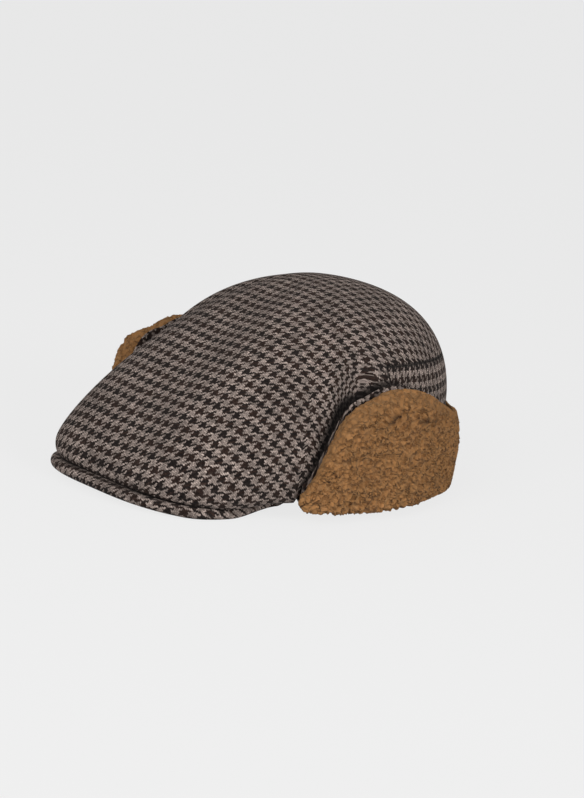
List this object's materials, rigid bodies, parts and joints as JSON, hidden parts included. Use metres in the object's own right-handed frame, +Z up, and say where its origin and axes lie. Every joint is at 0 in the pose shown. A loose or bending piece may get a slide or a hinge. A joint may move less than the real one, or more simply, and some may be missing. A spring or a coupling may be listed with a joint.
{
  "type": "flat cap with ear flaps",
  "caption": "Checked wool flat cap with a stiff short peak and a fleece ear flap band folded up on the outside; hollow underneath.",
  "frame": {"origin": "middle of the bounding box, at the level of the folded lower edge that the cap rests on", "axes": "+Z up, -Y the way the peak points, +X the wearer's left"},
  "size_m": [0.2118, 0.2852, 0.128],
  "materials": {
    "checked_wool": "wool twill in a houndstooth check, taupe on charcoal and dark brown",
    "fleece": "curly sherpa fleece, caramel brown"
  },
  "bodies": {
    "root": {"crown": "checked_wool", "peak": "checked_wool", "flap_backing": "checked_wool", "flap_fleece": "fleece"}
  },
  "joints": []
}
